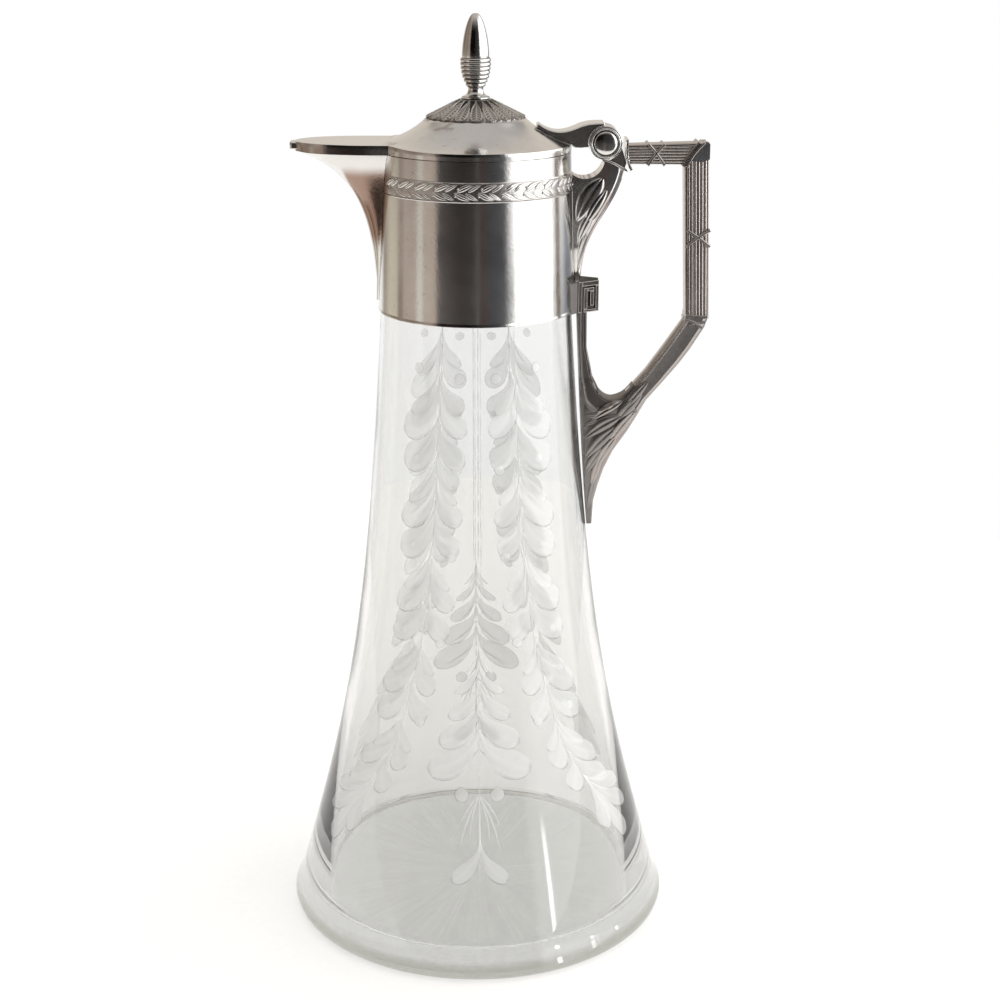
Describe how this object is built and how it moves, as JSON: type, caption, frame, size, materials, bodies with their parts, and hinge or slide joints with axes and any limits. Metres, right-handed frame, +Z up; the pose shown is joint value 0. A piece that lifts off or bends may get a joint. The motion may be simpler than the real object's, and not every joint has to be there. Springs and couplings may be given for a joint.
{
  "type": "claret jug",
  "caption": "Tall flared cut-glass claret jug with silver-plated collar, beak spout, hinged domed lid with bud finial and square reeded handle",
  "frame": {"origin": "centre of the foot's flat underside, on the glass body's axis", "axes": "+Z up along the body's axis, +X towards the handle and the hinge, -X towards the spout, +Y to the left of a viewer who looks along +X"},
  "size_m": [0.1784, 0.165, 0.385],
  "materials": {
    "glass": "clear colourless lead glass, polished, with cut and engraved garlands",
    "plaster": "fine white plaster, hidden inside the collar",
    "silver_plate": "worn polished silver plate with light tarnish",
    "aged_plate": "cast silver plate with dark oxidised recesses and rubbed edges",
    "brass": "plain turned brass"
  },
  "bodies": {
    "jug": {"glass_body": "glass", "plaster_bed": "plaster", "collar": "silver_plate", "laurel_band": "silver_plate", "spout": "silver_plate", "hinge_bracket": "silver_plate", "hinge_pin": "brass", "hinge_rosettes": "silver_plate", "bracket_strut": "silver_plate", "bracket_bead": "silver_plate", "handle_top_bar": "aged_plate", "handle_grip": "aged_plate", "handle_brace": "aged_plate", "handle_stem": "aged_plate", "lower_mount": "aged_plate", "key_block": "silver_plate", "corner_ribbon": "aged_plate", "elbow_ribbon": "aged_plate", "ribbon_ties": "aged_plate"},
    "lid": {"lid_cover": "silver_plate", "lid_bezel": "silver_plate", "lid_rosette": "aged_plate", "lid_arm": "silver_plate", "finial": "silver_plate", "finial_stud": "brass", "finial_washer": "brass", "finial_nut": "brass"}
  },
  "joints": [
    {"name": "lid_hinge", "type": "hinge", "parent": "jug", "child": "lid", "pos_m": [0.0518, 0, 0.3351], "axis": [0, 1, 0], "range_deg": [0, 95]}
  ]
}
